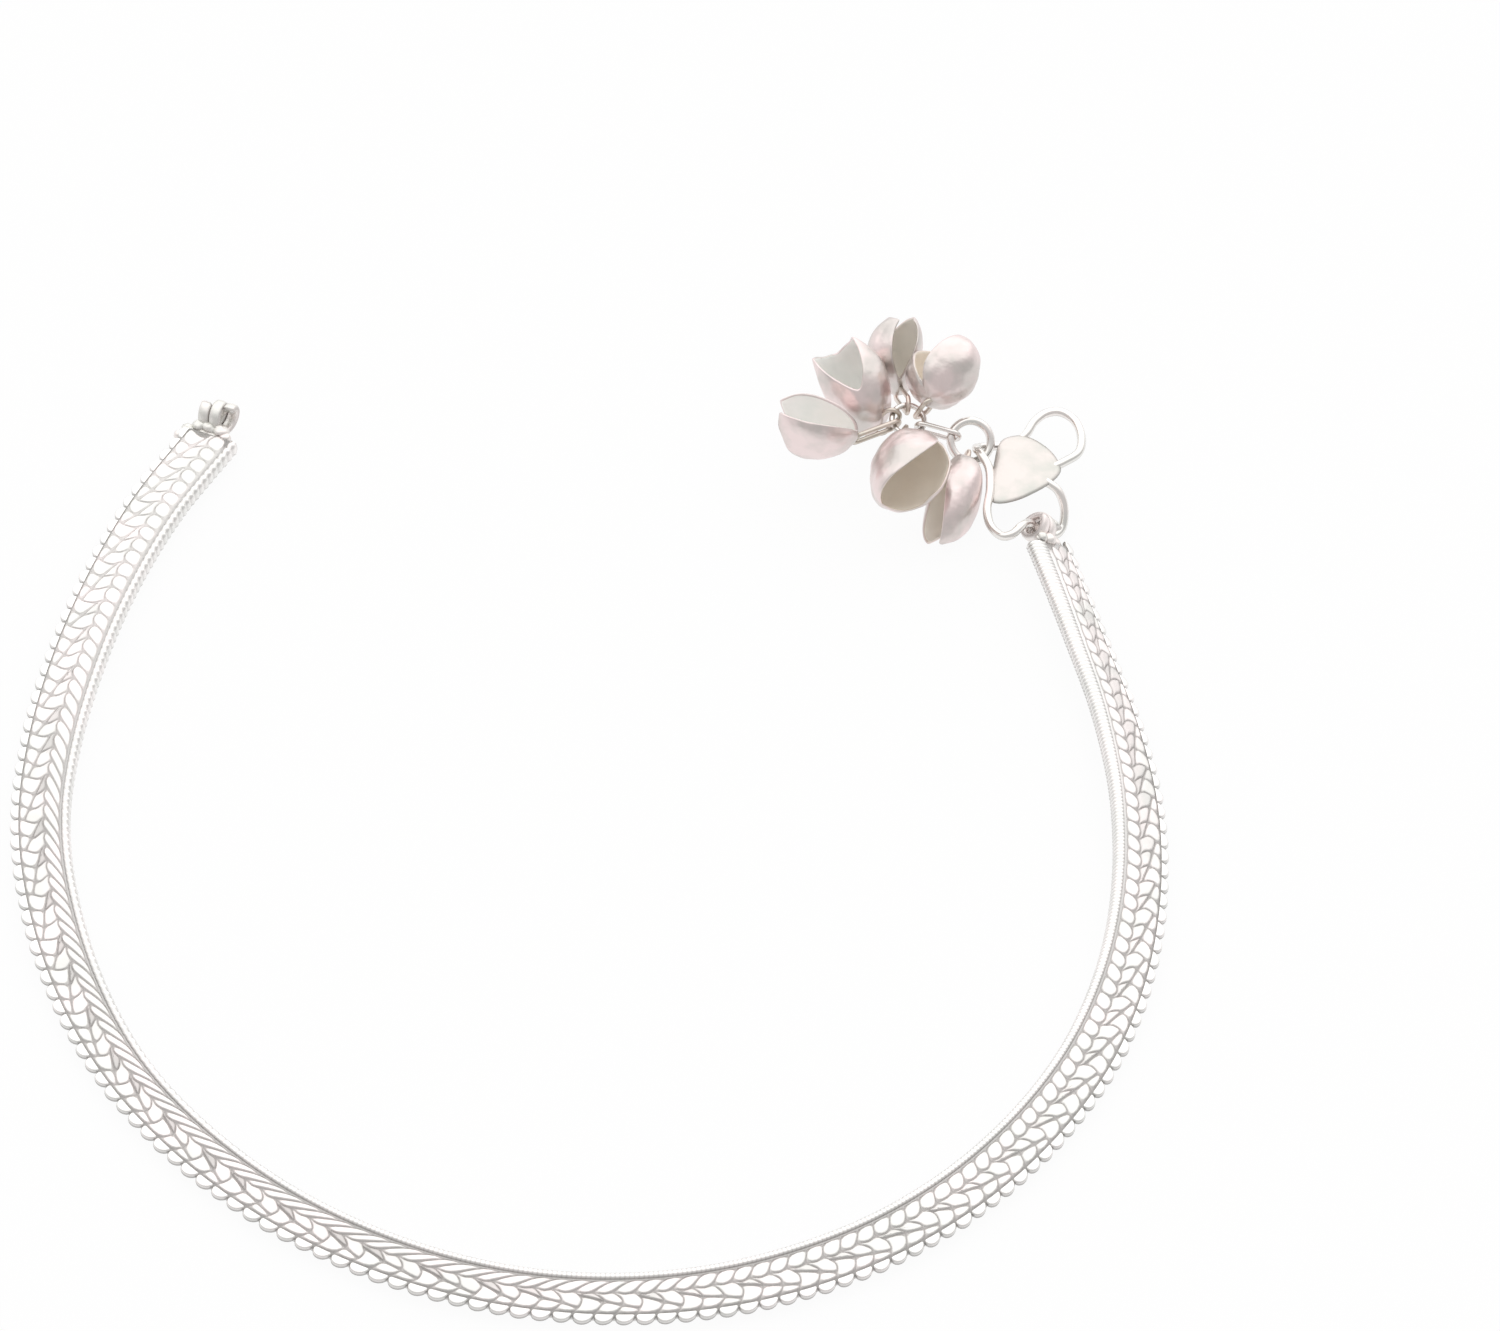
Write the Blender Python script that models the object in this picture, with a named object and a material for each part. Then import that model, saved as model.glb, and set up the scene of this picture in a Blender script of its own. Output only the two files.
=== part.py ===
# Silver anklet lying open on its side: woven band, barrel eyes, hook clasp with leaf plate, rings and bells
import math

import bmesh
import bpy
from mathutils import Matrix, Vector

# Lengths below are in millimetres and are scaled to metres when a mesh is made
MM = 0.001
GAP = 0.3
CURVE_STEPS = 16

BAND_WIDTH = 5.7
BAND_THICKNESS = 2.0
BAND_EDGE_RADIUS = 0.8
BAND_GROOVE_OFFSET = 1.95
BAND_GROOVE_DEPTH = 0.25
BAND_FIELD_EDGE = 1.5
BAND_STATIONS = 76
# The band leans outward a little all the way round, and rolls further over towards the clasp
BAND_LEAN = math.radians(8)
CLASP_ROLL = math.radians(30)
CLASP_ROLL_START = 0.72
CLASP_LIFT = 0.8
# How much of the rounded lower edge is pressed flat where the band lies on the table
BAND_FOOT_DEPTH = 0.2

# The band's middle line seen from above, from the free end round the front to the clasp end
BAND_ROUTE = [
    (-41.9, 38.3), (-45.8, 28.6), (-48.5, 18.5), (-50.2, 8.2), (-50.9, -2.3),
    (-50.3, -12.7), (-47.8, -22.8), (-43.6, -32.4), (-37.8, -41.1), (-30.4, -48.4),
    (-21.7, -54.1), (-11.9, -57.9), (-1.6, -59.6), (8.8, -59.0), (18.8, -56.2),
    (28.0, -51.2), (35.9, -44.4), (42.3, -36.2), (47.1, -26.9), (49.9, -16.9),
    (50.9, -6.5), (50.2, 4.0), (47.8, 14.1), (44.2, 24.2), (40.05, 35.5),
]

# The coiled barrel soldered across each end of the band, and the neck of solder that joins it
EYE_LENGTH = 3.6
EYE_RADIUS = 1.65
EYE_BORE_RADIUS = 1.0
EYE_TURNS = 3
EYE_TURN_DEPTH = 0.28
EYE_TURN_STEPS = 4
EYE_SIDES = 20
NECK_LENGTH = 0.8
NECK_OVERLAP = 0.5
NECK_WIDTH = 3.0
NECK_THICKNESS = 1.3
NECK_BEVEL = 0.15
# How far the clasp end's barrel is turned over towards the band's outer side
CLASP_EYE_ROLL = math.radians(50)
# How far the free end's barrel stands above the band's middle plane, to clear the table
FREE_EYE_RISE = 0.8

HOOK_WIRE_RADIUS = 0.43
HOOK_STATIONS = 72
# The hook's wire from the tip of its upper loop, behind the leaf, round the lower loop and through the eye
HOOK_ROUTE = [
    (40.9, 45.8, 4.0), (42.3, 47.3, 4.1), (42.4, 49.4, 4.3), (41.6, 51.3, 4.4), (40.2, 52.1, 4.5),
    (38.8, 51.7, 4.5), (37.7, 50.4, 4.4), (37.0, 48.9, 4.0), (35.8, 48.0, 3.4), (34.2, 47.9, 3.0),
    (32.7, 47.2, 3.3), (32.3, 46.3, 4.0), (32.8, 45.0, 4.6), (33.7, 43.3, 4.5), (34.0, 40.8, 4.2),
    (33.9, 38.2, 4.0), (34.4, 36.1, 4.0), (35.5, 34.6, 4.4), (36.5, 34.6, 4.8), (37.2, 35.6, 4.9),
    (38.0, 37.1, 4.0), (39.2, 37.9, 2.4), (40.1, 38.4, 1.3), (40.9, 39.1, 0.75), (41.5, 40.2, 1.0),
    (41.4, 41.4, 2.3), (40.6, 42.4, 3.5), (39.3, 43.0, 4.0),
]

LEAF_THICKNESS = 0.5
LEAF_HEIGHT = 4.55
LEAF_DOME = 0.5
LEAF_RIM_WIDTH = 0.9
# The leaf plate's outline from above, from its left lower corner round by the lower right to the tip
LEAF_OUTLINE = [
    (33.6, 38.8), (36.2, 39.4), (38.3, 40.9), (40.0, 42.6), (40.9, 44.2), (40.9, 45.3),
    (40.1, 46.7), (38.8, 48.0), (37.0, 49.0), (35.4, 48.7), (34.3, 47.7), (34.1, 45.1), (33.9, 42.0),
]

RINGS = {
    "bell_ring": {"centre": (31.7, 46.9, 4.3), "normal": (0.2, -0.6, 0.77), "radius": 2.0, "wire": 0.42,
                  "sides": 24},
    "gather_ring": {"centre": (25.4, 47.6, 5.5), "normal": (0.1, -0.3, 0.95), "radius": 1.6, "wire": 0.28,
                    "sides": 18},
}
# Where on each ring, in degrees, the long link between them passes round its wire
LINK_PLACES = {"gather_ring": 342, "bell_ring": 180}

BELL_WALL = 0.35
BELL_SIDES = 28
BELL_STEPS = 8
SHANK_HALF_WIDTH = 0.8
SHANK_WIRE = 0.24
SHANK_SINK = 0.15
LOOP_STEPS = 6
LOOP_CLEARANCE = 0.12
# Each bell: its pole where the shank sits, the way its mouth points and the way its front notch faces,
# its length, its half widths across the jaws and across the notches, how far its middle bulges to one
# jaw's side, how far from the pole, in degrees, its jaws' tips and its two notches lie, how sharply the
# jaws taper, and the ring and the place on it, in degrees, that its shank passes round
BELLS = [
    {"name": "bell_1", "pole": (20.4, 43.8, 5.6), "mouth": (-0.92, 0.06, 0.39), "notch": (0.39, -0.02, 0.92),
     "length": 8.6, "jaw": 2.5, "side": 3.6, "bulge": 0.8, "tip": 160, "front": 25, "back": 78, "power": 2.0,
     "ring": "gather_ring", "angle": 213},
    {"name": "bell_2", "pole": (22.4, 47.7, 3.0), "mouth": (-0.58, 0.52, 0.63), "notch": (0.03, -0.75, 0.66),
     "length": 10.9, "jaw": 3.3, "side": 3.4, "bulge": -0.7, "tip": 138, "front": 83, "back": 125, "power": 1.3,
     "ring": "gather_ring", "angle": 172},
    {"name": "bell_3", "pole": (24.0, 54.9, 1.9), "mouth": (0.03, 0.32, 0.95), "notch": (0.23, -0.92, 0.30),
     "length": 8.3, "jaw": 2.6, "side": 3.1, "bulge": 0.7, "tip": 163, "front": 71, "back": 100, "power": 1.0,
     "ring": "gather_ring", "angle": 100},
    {"name": "bell_4", "pole": (27.4, 47.9, 8.3), "mouth": (0.21, 0.97, 0.07), "notch": (-0.73, 0.12, 0.67),
     "length": 7.8, "jaw": 4.0, "side": 3.3, "bulge": -0.1, "tip": 151, "front": 28, "back": 59, "power": 0.7,
     "ring": "gather_ring", "angle": 40},
    {"name": "bell_5", "pole": (24.4, 43.1, 6.6), "mouth": (0.20, -0.91, 0.36), "notch": (0.72, 0.38, 0.58),
     "length": 10.6, "jaw": 3.0, "side": 4.4, "bulge": 0.8, "tip": 130, "front": 40, "back": 117, "power": 0.5,
     "ring": "gather_ring", "angle": 262},
    {"name": "bell_6", "pole": (31.6, 44.6, 4.5), "mouth": (-0.25, -0.91, -0.32), "notch": (-0.63, -0.10, 0.77),
     "length": 10.3, "jaw": 2.5, "side": 2.6, "bulge": 0.5, "tip": 162, "front": 46, "back": 61, "power": 0.8,
     "ring": "bell_ring", "angle": 270},
]


def clear_scene():
    for item in list(bpy.data.objects):
        bpy.data.objects.remove(item, do_unlink=True)


def metal(name, colour, roughness):
    """A plain silver finish."""
    material = bpy.data.materials.new(name)
    material.use_nodes = True
    shader = material.node_tree.nodes["Principled BSDF"]
    shader.inputs["Base Color"].default_value = (*colour, 1.0)
    shader.inputs["Roughness"].default_value = roughness
    shader.inputs["Metallic"].default_value = 1.0
    return material


def add_object(name, mesh, material):
    """Put a mesh in the scene, in metres, with smooth round faces."""
    mesh.transform(Matrix.Scale(MM, 4))
    mesh.materials.clear()
    mesh.materials.append(material)
    mesh.shade_smooth()
    mesh.set_sharp_from_angle(angle=math.radians(40))
    item = bpy.data.objects.new(name, mesh)
    bpy.context.scene.collection.objects.link(item)
    return item


def finished_mesh(name, bm):
    bmesh.ops.recalc_face_normals(bm, faces=bm.faces)
    mesh = bpy.data.meshes.new(name)
    bm.to_mesh(mesh)
    bm.free()
    return mesh


def smooth_points(knots, count):
    """Points evenly spaced along a smooth curve through the knots."""
    knots = [Vector(knot) for knot in knots]
    ends = [knots[0] * 2 - knots[1], *knots, knots[-1] * 2 - knots[-2]]
    fine = []
    for a, b, c, d in zip(ends, ends[1:], ends[2:], ends[3:]):
        for step in range(CURVE_STEPS):
            t = step / CURVE_STEPS
            fine.append(0.5 * (2 * b + (c - a) * t + (2 * a - 5 * b + 4 * c - d) * t ** 2
                               + (3 * b - a - 3 * c + d) * t ** 3))
    fine.append(knots[-1])
    lengths = [0.0]
    for p, q in zip(fine, fine[1:]):
        lengths.append(lengths[-1] + (q - p).length)
    points = []
    k = 0
    for i in range(count):
        target = lengths[-1] * i / (count - 1)
        while k < len(fine) - 2 and lengths[k + 1] < target:
            k += 1
        share = (target - lengths[k]) / (lengths[k + 1] - lengths[k])
        points.append(fine[k].lerp(fine[k + 1], share))
    return points


def frame_matrix(origin, z_axis, y_hint):
    """A local frame at origin: Z along z_axis, Y as near to y_hint as it can be."""
    z = Vector(z_axis).normalized()
    x = Vector(y_hint).cross(z).normalized()
    y = z.cross(x)
    turn = Matrix((x, y, z)).transposed().to_4x4()
    return Matrix.Translation(Vector(origin)) @ turn


def tube_mesh(name, points, radius, closed=False):
    """Round wire along points, as a mesh."""
    curve = bpy.data.curves.new(name, "CURVE")
    curve.dimensions = "3D"
    curve.bevel_depth = radius
    curve.bevel_resolution = 2
    curve.use_fill_caps = not closed
    spline = curve.splines.new("POLY")
    spline.points.add(len(points) - 1)
    for slot, point in zip(spline.points, points):
        slot.co = (*point, 1.0)
    spline.use_cyclic_u = closed
    holder = bpy.data.objects.new(name, curve)
    mesh = bpy.data.meshes.new_from_object(holder)
    bpy.data.objects.remove(holder, do_unlink=True)
    return mesh


def joined_mesh(name, meshes):
    """The union of several closed meshes, as one solid."""
    holders = [bpy.data.objects.new(name, mesh) for mesh in meshes]
    for holder in holders:
        bpy.context.scene.collection.objects.link(holder)
    for holder in holders[1:]:
        union = holders[0].modifiers.new("union", "BOOLEAN")
        union.operation = "UNION"
        union.solver = "EXACT"
        union.object = holder
    depsgraph = bpy.context.evaluated_depsgraph_get()
    mesh = bpy.data.meshes.new_from_object(holders[0].evaluated_get(depsgraph))
    for holder in holders:
        bpy.data.objects.remove(holder, do_unlink=True)
    return mesh


def band_profile():
    """The band's cross-section about its centre, with a groove beside each rounded border."""
    half = BAND_WIDTH / 2
    top = BAND_THICKNESS / 2
    r = BAND_EDGE_RADIUS
    corner = r * (1 - math.sqrt(0.5))
    right = [
        (half - r, -top), (half - corner, -top + corner), (half, 0.0), (half - corner, top - corner),
        (half - corner * 2, top), (BAND_GROOVE_OFFSET, top - BAND_GROOVE_DEPTH), (BAND_FIELD_EDGE, top),
    ]
    left = [(-x, z) for x, z in reversed(right)]
    return right + left


def band_roll(share):
    """How far the band leans on to its outer edge, at a share of its length."""
    t = max(0.0, (share - CLASP_ROLL_START) / (1 - CLASP_ROLL_START))
    return BAND_LEAN + (CLASP_ROLL - BAND_LEAN) * t * t * (3 - 2 * t)


def band_frames(points):
    """The section's centre at each point, with its directions across, along and out of the top face."""
    frames = []
    last = len(points) - 1
    for i, point in enumerate(points):
        along = (points[min(i + 1, last)] - points[max(i - 1, 0)]).normalized()
        roll = band_roll(i / last)
        lean = Matrix.Rotation(roll, 3, along)
        across = lean @ along.cross(Vector((0, 0, 1)))
        upward = lean @ Vector((0, 0, 1))
        arm = BAND_WIDTH / 2 - BAND_EDGE_RADIUS
        rise = BAND_THICKNESS / 2 - BAND_EDGE_RADIUS
        height = arm * math.sin(roll) + rise * math.cos(roll) + BAND_EDGE_RADIUS - BAND_FOOT_DEPTH
        height += CLASP_LIFT * (roll - BAND_LEAN) / (CLASP_ROLL - BAND_LEAN)
        frames.append((point + Vector((0, 0, height)), across, along, upward))
    return frames


def band_strip(frames):
    """The woven strip itself, lofted through its sections and pressed flat where it lies on the table."""
    profile = band_profile()
    bm = bmesh.new()
    rings = []
    for centre, across, _, upward in frames:
        ring = [bm.verts.new(centre + across * x + upward * z) for x, z in profile]
        for vert in ring:
            vert.co.z = max(vert.co.z, 0.0)
        rings.append(ring)
    for near, far in zip(rings, rings[1:]):
        edges = []
        for ring in (near, far):
            for a, b in zip(ring, ring[1:] + ring[:1]):
                edges.append(bm.edges.get((a, b)) or bm.edges.new((a, b)))
        bmesh.ops.bridge_loops(bm, edges=edges)
    bm.faces.new(rings[0])
    bm.faces.new(rings[-1])
    return finished_mesh("strip", bm)


def eye_barrel():
    """A barrel of coiled wire turns about the local Z axis, with its bore open at both ends."""
    pitch = EYE_LENGTH / EYE_TURNS
    outline = [Vector((EYE_BORE_RADIUS, 0, -EYE_LENGTH / 2)), Vector((EYE_BORE_RADIUS, 0, EYE_LENGTH / 2))]
    for turn in range(EYE_TURNS):
        middle = EYE_LENGTH / 2 - pitch * (turn + 0.5)
        for step in range(EYE_TURN_STEPS):
            angle = math.pi * (0.5 - step / EYE_TURN_STEPS)
            radius = EYE_RADIUS - EYE_TURN_DEPTH * (1 - math.cos(angle))
            outline.append(Vector((radius, 0, middle + pitch / 2 * math.sin(angle))))
    outline.append(Vector((EYE_RADIUS - EYE_TURN_DEPTH, 0, -EYE_LENGTH / 2)))
    bm = bmesh.new()
    verts = [bm.verts.new(point) for point in outline]
    edges = [bm.edges.new((a, b)) for a, b in zip(verts, verts[1:] + verts[:1])]
    bmesh.ops.spin(bm, geom=verts + edges, cent=(0, 0, 0), axis=(0, 0, 1), angle=math.tau, steps=EYE_SIDES,
                   use_merge=True)
    return finished_mesh("barrel", bm)


def end_eye(end, outward, across, upward, rise):
    """The barrel across one end of the band, and the neck between them, each as a mesh in its place."""
    barrel = eye_barrel()
    centre = end + outward * (NECK_LENGTH + EYE_RADIUS) + upward * rise
    barrel.transform(frame_matrix(centre, across, upward))
    length = NECK_LENGTH + 2 * NECK_OVERLAP
    bm = bmesh.new()
    bmesh.ops.create_cube(bm, size=1.0)
    bmesh.ops.scale(bm, vec=(NECK_WIDTH, length, NECK_THICKNESS), verts=bm.verts)
    bmesh.ops.bevel(bm, geom=bm.edges[:], offset=NECK_BEVEL, segments=1, affect="EDGES", profile=0.5,
                    material=-1)
    neck = finished_mesh("neck", bm)
    middle = end + outward * (NECK_LENGTH / 2)
    neck.transform(Matrix.Translation(middle) @ Matrix((across, outward, upward)).transposed().to_4x4())
    return [barrel, neck]


def woven_band(material):
    """The band with the barrel eye soldered to each of its ends, as one solid."""
    points = smooth_points([(x, y, 0.0) for x, y in BAND_ROUTE], BAND_STATIONS)
    frames = band_frames(points)
    meshes = [band_strip(frames)]
    centre, across, along, upward = frames[0]
    meshes += end_eye(centre, -along, across, upward, FREE_EYE_RISE)
    centre, _, along, _ = frames[-1]
    turn = Matrix.Rotation(CLASP_EYE_ROLL, 3, along)
    meshes += end_eye(centre, along, turn @ along.cross(Vector((0, 0, 1))), turn @ Vector((0, 0, 1)), 0.0)
    add_object("woven_band", joined_mesh("woven_band", meshes), material)


def leaf_mesh():
    """The leaf plate: its outline filled, thickened and domed."""
    bm = bmesh.new()
    rim = [bm.verts.new((x, y, 0.0)) for x, y in LEAF_OUTLINE]
    face = bm.faces.new(rim)
    middle = sum((vert.co for vert in rim), Vector()) / len(rim)
    bmesh.ops.inset_region(bm, faces=[face], thickness=LEAF_RIM_WIDTH, depth=0.0)
    bmesh.ops.poke(bm, faces=[face])
    reach = max((vert.co - middle).length for vert in bm.verts)
    for vert in bm.verts:
        share = (vert.co - middle).length / reach
        vert.co.z = LEAF_HEIGHT - LEAF_DOME * share ** 2
    bmesh.ops.recalc_face_normals(bm, faces=bm.faces)
    bmesh.ops.solidify(bm, geom=bm.faces[:], thickness=LEAF_THICKNESS)
    return finished_mesh("leaf", bm)


def hook_clasp(material):
    """The bent wire hook with its leaf plate soldered on."""
    wire = tube_mesh("wire", smooth_points(HOOK_ROUTE, HOOK_STATIONS), HOOK_WIRE_RADIUS)
    add_object("hook_clasp", joined_mesh("hook_clasp", [leaf_mesh(), wire]), material)


def ring_point(ring, degrees):
    """The middle of a ring's wire at an angle round the ring, with the wire's direction there."""
    angle = math.radians(degrees)
    placing = frame_matrix(ring["centre"], ring["normal"], (0, 1, 0))
    outward = Vector((math.cos(angle), math.sin(angle), 0.0))
    tangent = Vector((-outward.y, outward.x, 0.0))
    return placing @ (outward * ring["radius"]), placing.to_3x3() @ tangent


def ring_mesh(name, ring):
    """A closed round ring of wire."""
    sides = ring["sides"]
    points = [ring_point(ring, 360 * i / sides)[0] for i in range(sides)]
    return tube_mesh(name, points, ring["wire"], closed=True)


def loop_end(ring, degrees, other_end):
    """Where a thin loop from other_end turns back round a ring's wire, and the loop's side direction."""
    middle, tangent = ring_point(ring, degrees)
    away = (middle - Vector(other_end)).normalized()
    return middle + away * (ring["wire"] + SHANK_WIRE + LOOP_CLEARANCE), away.cross(tangent)


def loop_mesh(name, start, end, side):
    """A long narrow loop of thin wire with round ends at start and end, in the plane of side."""
    along = (end - start).normalized()
    side = (side - along * along.dot(side)).normalized()
    points = []
    for middle, facing in ((end - along * SHANK_HALF_WIDTH, 1), (start + along * SHANK_HALF_WIDTH, -1)):
        for i in range(LOOP_STEPS + 1):
            angle = math.pi * (i / LOOP_STEPS - 0.5)
            turned = along * math.cos(angle) + side * math.sin(angle)
            points.append(middle + turned * SHANK_HALF_WIDTH * facing)
    return tube_mesh(name, points, SHANK_WIRE, closed=True)


def ring_link(material):
    """The long thin link between the gather ring and the bell ring."""
    small, big = RINGS["gather_ring"], RINGS["bell_ring"]
    small_middle, _ = ring_point(small, LINK_PLACES["gather_ring"])
    big_middle, _ = ring_point(big, LINK_PLACES["bell_ring"])
    start, side = loop_end(small, LINK_PLACES["gather_ring"], big_middle)
    end, _ = loop_end(big, LINK_PLACES["bell_ring"], small_middle)
    add_object("ring_link", loop_mesh("ring_link", start, end, side), material)


def bell_point(row, step, turn):
    """A point of a bell's sheet: step runs from the pole to the rim, turn once round the axis."""
    notch = math.radians(row["front"] if math.sin(turn) > 0 else row["back"])
    tip = math.radians(row["tip"])
    polar = step * (notch + (tip - notch) * abs(math.cos(turn)) ** row["power"])
    return Vector((
        row["jaw"] * math.sin(polar) * math.cos(turn) + row["bulge"] * math.sin(polar) ** 2,
        row["side"] * math.sin(polar) * math.sin(turn),
        row["length"] / 2 * (1 - math.cos(polar)),
    ))


def bell(row, material):
    """A thin pressed bell with two jaws, and the wire shank from its pole round a ring."""
    bm = bmesh.new()
    rings = []
    for i in range(1, BELL_STEPS + 1):
        rings.append([bm.verts.new(bell_point(row, i / BELL_STEPS, math.tau * k / BELL_SIDES))
                      for k in range(BELL_SIDES)])
    crown = bm.verts.new((0, 0, 0))
    for k in range(BELL_SIDES):
        after = (k + 1) % BELL_SIDES
        bm.faces.new((crown, rings[0][after], rings[0][k]))
        for near, far in zip(rings, rings[1:]):
            bm.faces.new((near[k], near[after], far[after], far[k]))
    bmesh.ops.recalc_face_normals(bm, faces=bm.faces)
    bmesh.ops.solidify(bm, geom=bm.faces[:], thickness=BELL_WALL)
    cup = finished_mesh(row["name"], bm)
    placing = frame_matrix(row["pole"], row["mouth"], row["notch"])
    cup.transform(placing)
    pole = placing @ Vector((0, 0, SHANK_SINK))
    end, side = loop_end(RINGS[row["ring"]], row["angle"], pole)
    shank = loop_mesh(row["name"], pole, end, side)
    add_object(row["name"], joined_mesh(row["name"], [cup, shank]), material)


def stand_on_origin():
    """Move every piece so that the middle of the whole anklet's underside is at the origin."""
    meshes = [item.data for item in bpy.data.objects]
    corners = [vert.co for mesh in meshes for vert in mesh.vertices]
    low = Vector(min(corner[axis] for corner in corners) for axis in range(3))
    high = Vector(max(corner[axis] for corner in corners) for axis in range(3))
    shift = Vector((-(low.x + high.x) / 2, -(low.y + high.y) / 2, -low.z))
    for mesh in meshes:
        mesh.transform(Matrix.Translation(shift))


def build():
    clear_scene()
    band_metal = metal("band_silver", (0.88, 0.88, 0.87), 0.25)
    clasp_metal = metal("clasp_silver", (0.86, 0.85, 0.82), 0.22)
    bell_metal = metal("bell_silver", (0.74, 0.69, 0.69), 0.28)

    woven_band(band_metal)
    hook_clasp(clasp_metal)
    for name, ring in RINGS.items():
        add_object(name, ring_mesh(name, ring), clasp_metal)
    ring_link(clasp_metal)
    for row in BELLS:
        bell(row, bell_metal)
    stand_on_origin()


build()
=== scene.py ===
import math

import bmesh
import bpy
from mathutils import Matrix, Vector, noise


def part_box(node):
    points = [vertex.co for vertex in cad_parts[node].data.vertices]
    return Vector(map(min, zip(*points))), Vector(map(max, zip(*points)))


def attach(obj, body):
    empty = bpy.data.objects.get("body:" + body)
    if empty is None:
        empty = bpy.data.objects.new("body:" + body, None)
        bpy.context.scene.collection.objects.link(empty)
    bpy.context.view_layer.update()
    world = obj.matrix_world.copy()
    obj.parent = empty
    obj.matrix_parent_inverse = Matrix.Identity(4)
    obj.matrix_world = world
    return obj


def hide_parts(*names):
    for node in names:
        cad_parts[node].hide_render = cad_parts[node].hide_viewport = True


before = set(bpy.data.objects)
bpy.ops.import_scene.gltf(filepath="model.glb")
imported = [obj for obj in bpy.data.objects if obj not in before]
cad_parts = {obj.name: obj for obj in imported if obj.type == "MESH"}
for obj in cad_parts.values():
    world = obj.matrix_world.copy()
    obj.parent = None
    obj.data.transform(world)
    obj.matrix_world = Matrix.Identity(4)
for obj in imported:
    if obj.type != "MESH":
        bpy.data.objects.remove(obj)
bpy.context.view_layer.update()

# The band's core
# A long flat strip of silver that the wires of the woven face lie on, bent round the ankle and left
# open at the back. It leans outward a little, and rolls over towards the clasp.
MM = 0.001
BELL_RING_PLACE = Vector((31.7, 46.9, 4.3))
ring_low, ring_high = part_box("bell_ring")
SHIFT = (Vector(ring_low) + Vector(ring_high)) / (2 * MM) - BELL_RING_PLACE

BAND_ROUTE = [
    (-41.9, 38.3), (-45.8, 28.6), (-48.5, 18.5), (-50.2, 8.2), (-50.9, -2.3),
    (-50.3, -12.7), (-47.8, -22.8), (-43.6, -32.4), (-37.8, -41.1), (-30.4, -48.4),
    (-21.7, -54.1), (-11.9, -57.9), (-1.6, -59.6), (8.8, -59.0), (18.8, -56.2),
    (28.0, -51.2), (35.9, -44.4), (42.3, -36.2), (47.1, -26.9), (49.9, -16.9),
    (50.9, -6.5), (50.2, 4.0), (47.8, 14.1), (44.2, 24.2), (40.05, 35.5),
]
ROUTE_STEPS = 16
MERGE_DISTANCE = 0.0001
BAND_STATIONS = 700
BAND_HALF_WIDTH = 2.85
BAND_HALF_THICKNESS = 1.0
BAND_EDGE_RADIUS = 0.8
BAND_FOOT_DEPTH = 0.2
BAND_LEAN = math.radians(8)
CLASP_ROLL = math.radians(30)
CLASP_ROLL_START = 0.72
CLASP_LIFT = 0.8


def smooth_points(knots, count):
    """Points evenly spaced along a smooth curve through the knots."""
    knots = [Vector(knot) for knot in knots]
    ends = [knots[0] * 2 - knots[1], *knots, knots[-1] * 2 - knots[-2]]
    fine = []
    for a, b, c, d in zip(ends, ends[1:], ends[2:], ends[3:]):
        for step in range(ROUTE_STEPS):
            t = step / ROUTE_STEPS
            fine.append(0.5 * (2 * b + (c - a) * t + (2 * a - 5 * b + 4 * c - d) * t ** 2
                               + (3 * b - a - 3 * c + d) * t ** 3))
    fine.append(knots[-1])
    lengths = [0.0]
    for p, q in zip(fine, fine[1:]):
        lengths.append(lengths[-1] + (q - p).length)
    points = []
    k = 0
    for i in range(count):
        target = lengths[-1] * i / (count - 1)
        while k < len(fine) - 2 and lengths[k + 1] < target:
            k += 1
        t = (target - lengths[k]) / (lengths[k + 1] - lengths[k])
        points.append(fine[k].lerp(fine[k + 1], t))
    return points


def rolled(along, roll):
    """The directions outward across and out of a flat face that runs along, when it is rolled over."""
    turn = Matrix.Rotation(roll, 3, along)
    return turn @ along.cross(Vector((0, 0, 1))), turn @ Vector((0, 0, 1))


def band_stations():
    """Each station's middle and its directions along, outward across and out of the face; the length."""
    points = smooth_points([(x, y, 0.0) for x, y in BAND_ROUTE], BAND_STATIONS)
    last = BAND_STATIONS - 1
    stations = []
    for i, point in enumerate(points):
        along = (points[min(i + 1, last)] - points[max(i - 1, 0)]).normalized()
        t = max(0.0, (i / last - CLASP_ROLL_START) / (1 - CLASP_ROLL_START))
        eased = t * t * (3 - 2 * t)
        roll = BAND_LEAN + (CLASP_ROLL - BAND_LEAN) * eased
        across, upward = rolled(along, roll)
        height = ((BAND_HALF_WIDTH - BAND_EDGE_RADIUS) * math.sin(roll)
                  + (BAND_HALF_THICKNESS - BAND_EDGE_RADIUS) * math.cos(roll)
                  + BAND_EDGE_RADIUS - BAND_FOOT_DEPTH + CLASP_LIFT * eased)
        stations.append((point + Vector((0, 0, height)), along, across, upward))
    length = sum((q - p).length for p, q in zip(points, points[1:]))
    return stations, length


STATIONS, BAND_LENGTH = band_stations()

# Each row: a share of the band's length, and how far outward the face's outer and inner edges lie there
# from their usual place. The face wanders and narrows along the band.
EDGE_SHIFTS = [
    (0.0, 0.0, -0.7), (0.12, 0.0, -0.4), (0.24, 0.0, 0.0), (0.35, 0.25, 0.6), (0.5, 0.35, 0.8),
    (0.62, 0.4, 0.4), (0.74, 0.35, 0.2), (0.85, 0.2, 0.4), (1.0, 0.1, 1.5),
]
FACE_EDGE = 1.83
WALL_EDGE = 2.85
WALL_SHIFT_START = 0.78


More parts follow.
